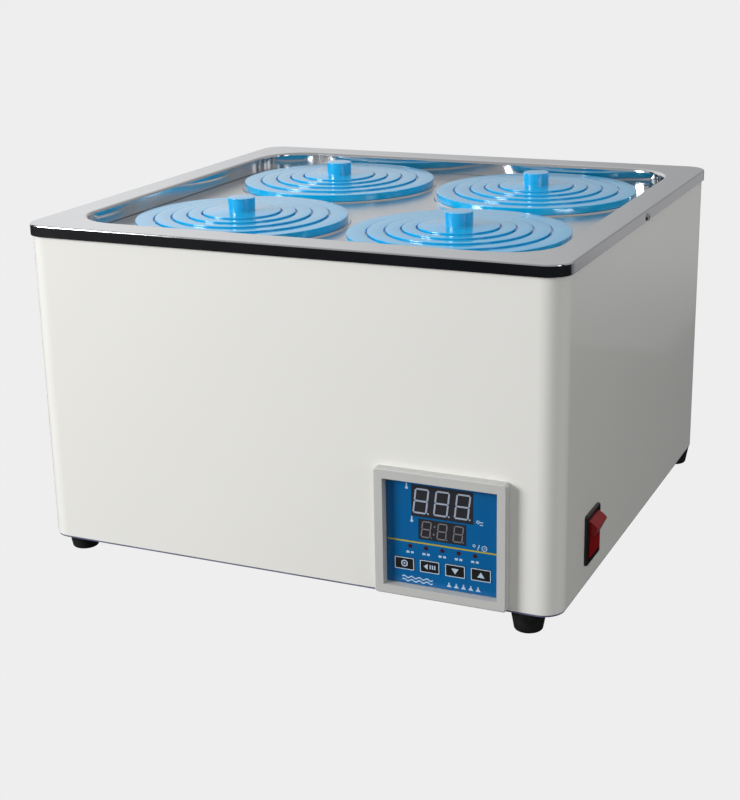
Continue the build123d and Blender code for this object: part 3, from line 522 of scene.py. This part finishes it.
def key_symbols():
    """The pale symbol of each key, round the key's middle."""
    ring = band(round_shape(0, 0, 2.1), round_shape(0, 0, 1.4)) + [round_shape(0, 0, 0.6, 12)]
    left = [[(-3.6, 0), (-1.2, -1.8), (-1.2, 1.8)]]
    left += [block(x, 0, 0.7, 2.6) for x in (0.4, 1.8, 3.2)]
    down = [[(-2.2, 1.5), (0, -1.9), (2.2, 1.5)]]
    up = [[(-2.2, -1.6), (2.2, -1.6), (0, 1.8)]]
    return dict(zip(KEYS, (ring, left, down, up)))


FRAME_IN, FRAME_WIDE = 0.05, 0.5
for key, symbol in key_symbols().items():
    x, z = key_place(key)
    outer = rounded_block(0, 0, KEY_HALF_W - FRAME_IN, KEY_HALF_H - FRAME_IN, 0.6)
    inset = FRAME_IN + FRAME_WIDE
    symbol += band(outer, rounded_block(0, 0, KEY_HALF_W - inset, KEY_HALF_H - inset, 0.4))
    shapes = [[(x + px, z + pz) for px, pz in shape] for shape in symbol]
    printed(f"{key}_symbol", shapes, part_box(key)[0].y, PALE_INK, key)


# ---------------------------------------------------------------- screws
# Shares of the head's radius: the recess's bars end to end, and their width.
ARM_SHARE, RECESS_SHARE = 1.15, 0.28
# Millimetres: radius and height of a pan head and of the rim's flat one, and the shanks.
PAN_HEAD, RIM_HEAD = (3.0, 1.8), (2.4, 0.9)
SHANK_RADIUS, SHORT_SHANK, INLET_SHANK, FOOT_SHANK = 1.5, 5, 7, 9
BACKWARDS, DOWNWARDS = (-pi / 2, 0, 0), (pi, 0, 0)
RIGHTWARDS, LEFTWARDS = (0, pi / 2, 0), (0, -pi / 2, 0)


def screw_tree():
    """Geometry Nodes: a pan head with a cross recess and a shank on every point of the mesh."""
    tree = bpy.data.node_groups.new("cross_head_screws", "GeometryNodeTree")
    tree.is_modifier = True
    face = tree.interface
    face.new_socket("Points", in_out="INPUT", socket_type="NodeSocketGeometry")
    for name in ("Head radius", "Head height", "Recess width", "Shank radius", "Shank length"):
        face.new_socket(name, in_out="INPUT", socket_type="NodeSocketFloat")
    face.new_socket("Turn", in_out="INPUT", socket_type="NodeSocketVector")
    face.new_socket("Material", in_out="INPUT", socket_type="NodeSocketMaterial")
    face.new_socket("Screws", in_out="OUTPUT", socket_type="NodeSocketGeometry")
    given = put(tree, "NodeGroupInput").outputs

    head = put(
        tree,
        "GeometryNodeMeshCylinder",
        {"Vertices": 32},
        {"Radius": given["Head radius"], "Depth": given["Head height"]},
    ).outputs["Mesh"]
    # Two crossed bars, half sunk in the head's top, cut the recess.
    arm = put(
        tree, "ShaderNodeMath", {1: ARM_SHARE}, {0: given["Head radius"]}, operation="MULTIPLY"
    )
    rise = put(tree, "ShaderNodeMath", {1: 0.5}, {0: given["Head height"]}, operation="MULTIPLY")
    lift = put(tree, "ShaderNodeCombineXYZ", links={"Z": rise.outputs[0]})
    for along, across in ("XY", "YX"):
        sides = {along: arm.outputs[0], across: given["Recess width"], "Z": given["Head height"]}
        size = put(tree, "ShaderNodeCombineXYZ", links=sides)
        bar = put(tree, "GeometryNodeMeshCube", links={"Size": size.outputs[0]})
        links = {"Geometry": bar.outputs["Mesh"], "Translation": lift.outputs[0]}
        raised = put(tree, "GeometryNodeTransform", links=links)
        links = {0: head, 1: raised.outputs["Geometry"]}
        cut = put(tree, "GeometryNodeMeshBoolean", links=links, operation="DIFFERENCE")
        head = cut.outputs["Mesh"]
    shank = put(
        tree,
        "GeometryNodeMeshCylinder",
        {"Vertices": 24},
        {"Radius": given["Shank radius"], "Depth": given["Shank length"]},
    )
    depths = {0: given["Head height"], 1: given["Shank length"]}
    both = put(tree, "ShaderNodeMath", links=depths, operation="ADD")
    drop = put(tree, "ShaderNodeMath", {1: -0.5}, {0: both.outputs[0]}, operation="MULTIPLY")
    below = put(tree, "ShaderNodeCombineXYZ", links={"Z": drop.outputs[0]})
    links = {"Geometry": shank.outputs["Mesh"], "Translation": below.outputs[0]}
    lowered = put(tree, "GeometryNodeTransform", links=links)
    whole = put(tree, "GeometryNodeJoinGeometry")
    tree.links.new(head, whole.inputs[0])
    tree.links.new(lowered.outputs["Geometry"], whole.inputs[0])
    turn = put(tree, "FunctionNodeEulerToRotation", links={"Euler": given["Turn"]})
    spread = put(
        tree,
        "GeometryNodeInstanceOnPoints",
        links={
            "Points": given["Points"],
            "Instance": whole.outputs["Geometry"],
            "Rotation": turn.outputs[0],
        },
    )
    solid = put(tree, "GeometryNodeRealizeInstances", links={"Geometry": spread.outputs[0]})
    coated = put(
        tree,
        "GeometryNodeSetMaterial",
        links={"Geometry": solid.outputs[0], "Material": given["Material"]},
    )
    put(tree, "NodeGroupOutput", links={"Screws": coated.outputs[0]})
    return tree


SCREWS = screw_tree()


def screws_at(spots, turn, head, shank):
    """The mesh of screws whose heads are centred on these spots, turned the same way."""
    radius, height = head
    points = bpy.data.meshes.new("screw_points")
    points.from_pydata([CASE * Vector((1, 1, 0)) + Vector(spot) * MM for spot in spots], [], [])
    carrier = bpy.data.objects.new("screw_points", points)
    scene.collection.objects.link(carrier)
    screws = carrier.modifiers.new("screws", "NODES")
    screws.node_group = SCREWS
    given = {"Head radius": radius * MM, "Head height": height * MM, "Turn": turn}
    given |= {"Recess width": RECESS_SHARE * radius * MM, "Material": ZINC}
    given |= {"Shank radius": SHANK_RADIUS * MM, "Shank length": shank * MM}
    for item in SCREWS.interface.items_tree:
        if item.in_out == "INPUT" and item.name in given:
            screws[item.identifier] = given[item.name]
    evaluated = carrier.evaluated_get(bpy.context.evaluated_depsgraph_get())
    mesh = bpy.data.meshes.new_from_object(evaluated)
    bpy.data.objects.remove(carrier)
    return mesh


def add_screws(node, *meshes):
    """One piece of screws in place of a CAD node of screws."""
    work = bmesh.new()
    for mesh in meshes:
        work.from_mesh(mesh)
    bmesh.ops.remove_doubles(work, verts=work.verts, dist=MERGE_SCREW)
    add_piece(f"{node}_turned", work, ZINC, "casing", [node])


# Spots in mm: right of and behind the casing's middle, and above the bench.
REAR_FACE = (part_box("rear_panel")[1].y - CASE.y) / MM
PLATE_X, PLATE_Z, PLATE_HALF_W, PLATE_HALF_H = 45, 65, 103, 37
PLATE = [
    (PLATE_X + across, REAR_FACE + PAN_HEAD[1] / 2, PLATE_Z + up)
    for across in (-PLATE_HALF_W, 0, PLATE_HALF_W)
    for up in (-PLATE_HALF_H, PLATE_HALF_H)
]
INLET_OUT, INLET_LEVEL = 3.4, 56
INLET = [(x, REAR_FACE + INLET_OUT, INLET_LEVEL) for x in (80, 120)]
add_screws(
    "rear_screws",
    screws_at(PLATE, BACKWARDS, PAN_HEAD, SHORT_SHANK),
    screws_at(INLET, BACKWARDS, PAN_HEAD, INLET_SHANK),
)
FOOT_LEVEL, EDGE_LEVEL = 6.1, 12.1
FEET = [
    (x, y, FOOT_LEVEL) for x, y in ((-157.5, -142), (149, -151.2), (-157.5, 150.4), (158.6, 150.4))
]
EDGE = [(x, y, EDGE_LEVEL) for x in (-75, 30) for y in (-154, 154)]
EDGE += [(x, y, EDGE_LEVEL) for x in (-162, 162) for y in (-60, 60)]
add_screws(
    "base_screws",
    screws_at(FEET, DOWNWARDS, PAN_HEAD, FOOT_SHANK),
    screws_at(EDGE, DOWNWARDS, PAN_HEAD, SHORT_SHANK),
)
RIM_LOW, RIM_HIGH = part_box("rim_screws")
RIM_OUT = (RIM_HIGH.x - CASE.x) / MM - RIM_HEAD[1] / 2
RIM_LEVEL = (RIM_HIGH.z + RIM_LOW.z) / 2 / MM
add_screws(
    "rim_screws",
    screws_at([(RIM_OUT, 0, RIM_LEVEL)], RIGHTWARDS, RIM_HEAD, SHORT_SHANK),
    screws_at([(-RIM_OUT, 0, RIM_LEVEL)], LEFTWARDS, RIM_HEAD, SHORT_SHANK),
)


# ---------------------------------------------------------------- stage and light
def glow(name, colour):
    """A stage material that only gives out light."""
    made = bpy.data.materials.new(name)
    made.use_nodes = True
    tree = made.node_tree
    tree.nodes.clear()
    light = put(tree, "ShaderNodeEmission", {"Color": srgb(colour)})
    put(tree, "ShaderNodeOutputMaterial", links={"Surface": light.outputs["Emission"]})
    return made


def fading(name, low_colour, high_colour, axis, reach):
    """A stage material whose light changes along x or y between two places in metres."""
    made = glow(name, low_colour)
    tree = made.node_tree
    here = put(tree, "ShaderNodeTexCoord").outputs["Object"]
    split = put(tree, "ShaderNodeSeparateXYZ", links={"Vector": here})
    amount = put(
        tree,
        "ShaderNodeMapRange",
        {"From Min": reach[0], "From Max": reach[1]},
        {"Value": split.outputs[axis]},
        interpolation_type="SMOOTHSTEP",
    )
    colour = put(
        tree,
        "ShaderNodeMix",
        {6: srgb(low_colour), 7: srgb(high_colour)},
        {0: amount.outputs["Result"]},
        data_type="RGBA",
    )
    tree.links.new(colour.outputs[2], tree.nodes["Emission"].inputs["Color"])
    return made


def card(name, corners, material, seen):
    """A flat stage card that only the named kinds of ray meet."""
    mesh = bpy.data.meshes.new(name)
    mesh.from_pydata(corners, [], [range(len(corners))])
    mesh.materials.append(material)
    made = bpy.data.objects.new(name, mesh)
    scene.collection.objects.link(made)
    for ray in ("camera", "diffuse", "glossy", "transmission", "shadow"):
        setattr(made, f"visible_{ray}", ray in seen)


def level_card(low_x, low_y, high_x, high_y, height):
    """Corners of a level rectangle."""
    spots = ((low_x, low_y), (high_x, low_y), (high_x, high_y), (low_x, high_y))
    return [(x, y, height) for x, y in spots]


# Pale paper under and behind, which only the camera sees.
PAPER = glow("backdrop_paper", "#EEEEEE")
card("floor", level_card(-60, -60, 60, 60, 0), PAPER, ["camera"])
UPRIGHT = [(-60, 50, -20), (60, 50, -20), (60, 50, 60), (-60, 50, 60)]
card("backdrop", UPRIGHT, PAPER, ["camera"])
# Darker floors that only reflections see, so that the steel has something to mirror.
DARK = fading("dark_card", "#2E2E30", "#17181C", 0, (-0.9, -0.2))
card("dark_floor", level_card(-6, -6, 6, 6, -0.003), DARK, ["glossy"])
GREY_FLOOR = fading("grey_card", "#6C6C6E", "#A4A4A6", 1, (0.45, 0.9))
card("side_floor", level_card(0.26, 0.42, 6, 6, -0.002), GREY_FLOOR, ["glossy"])
# Black flags at each side, for the dark bands in the polished corners.
BLACK_CARD = glow("black_card", "#050506")
FLAG_HALF_W, FLAG_HEIGHT = 0.3, 1.4
for side, x, y in (("left", -1.8, -0.1), ("right", 1.8, -0.4)):
    near, far = y - FLAG_HALF_W, y + FLAG_HALF_W
    flag = [(x, near, 0), (x, far, 0), (x, far, FLAG_HEIGHT), (x, near, FLAG_HEIGHT)]
    card(f"flag_{side}", flag, BLACK_CARD, ["glossy"])


LIGHT_AIM = Vector((0, 0, 0.1))


def area_light(name, place, width, height, power):
    """A rectangular soft light aimed at the bath."""
    data = bpy.data.lights.new(name, "AREA")
    data.shape = "RECTANGLE"
    data.size, data.size_y = width, height
    data.energy = power
    made = bpy.data.objects.new(name, data)
    made.location = place
    made.rotation_mode = "QUATERNION"
    made.rotation_quaternion = (LIGHT_AIM - Vector(place)).to_track_quat("-Z", "Y")
    scene.collection.objects.link(made)
    return made


area_light("key", (-1.5, -1.45, 0.8), 0.8, 0.8, 40)
area_light("side", (2.3, -0.7, 0.8), 1.4, 1.4, 10)
top = area_light("top", (-0.5, 0.6, 2.4), 2.4, 1.6, 14)
top.visible_glossy = False


def add_world():
    """A pale room: brightest low down behind on the left, dim right behind and below."""
    world = bpy.data.worlds.new("room")
    world.use_nodes = True
    scene.world = world
    tree = world.node_tree
    tree.nodes.clear()
    direction = put(tree, "ShaderNodeTexCoord").outputs["Generated"]
    height = put(tree, "ShaderNodeSeparateXYZ", links={"Vector": direction})

    def facing(towards, reach, levels):
        """Brightness by how nearly a direction points one way."""
        along = put(
            tree,
            "ShaderNodeVectorMath",
            {1: towards},
            {0: direction},
            operation="DOT_PRODUCT",
        )
        limits = {"From Min": reach[0], "From Max": reach[1]}
        limits |= {"To Min": levels[0], "To Max": levels[1]}
        ramp = put(tree, "ShaderNodeMapRange", limits, {"Value": along.outputs["Value"]})
        return ramp.outputs["Result"]

    left_wall = facing((-0.71, 0.71, 0), (0.2, 0.9), (0.42, 0.90))
    back_shade = facing((0.09, 0.995, 0), (0.76, 0.93), (1.0, 0.52))
    above = put(
        tree,
        "ShaderNodeMapRange",
        {"From Min": -0.15, "From Max": 0.04, "To Min": 0.45, "To Max": 1.0},
        {"Value": height.outputs["Z"]},
        interpolation_type="SMOOTHSTEP",
    )
    walls = put(
        tree, "ShaderNodeMath", links={0: left_wall, 1: back_shade}, operation="MULTIPLY"
    )
    strength = put(
        tree,
        "ShaderNodeMath",
        links={0: walls.outputs["Value"], 1: above.outputs["Result"]},
        operation="MULTIPLY",
    )
    light = put(
        tree,
        "ShaderNodeBackground",
        {"Color": srgb("#FAFBFC")},
        {"Strength": strength.outputs["Value"]},
    )
    put(tree, "ShaderNodeOutputWorld", links={"Surface": light.outputs["Background"]})


add_world()
scene.view_settings.view_transform = "Standard"
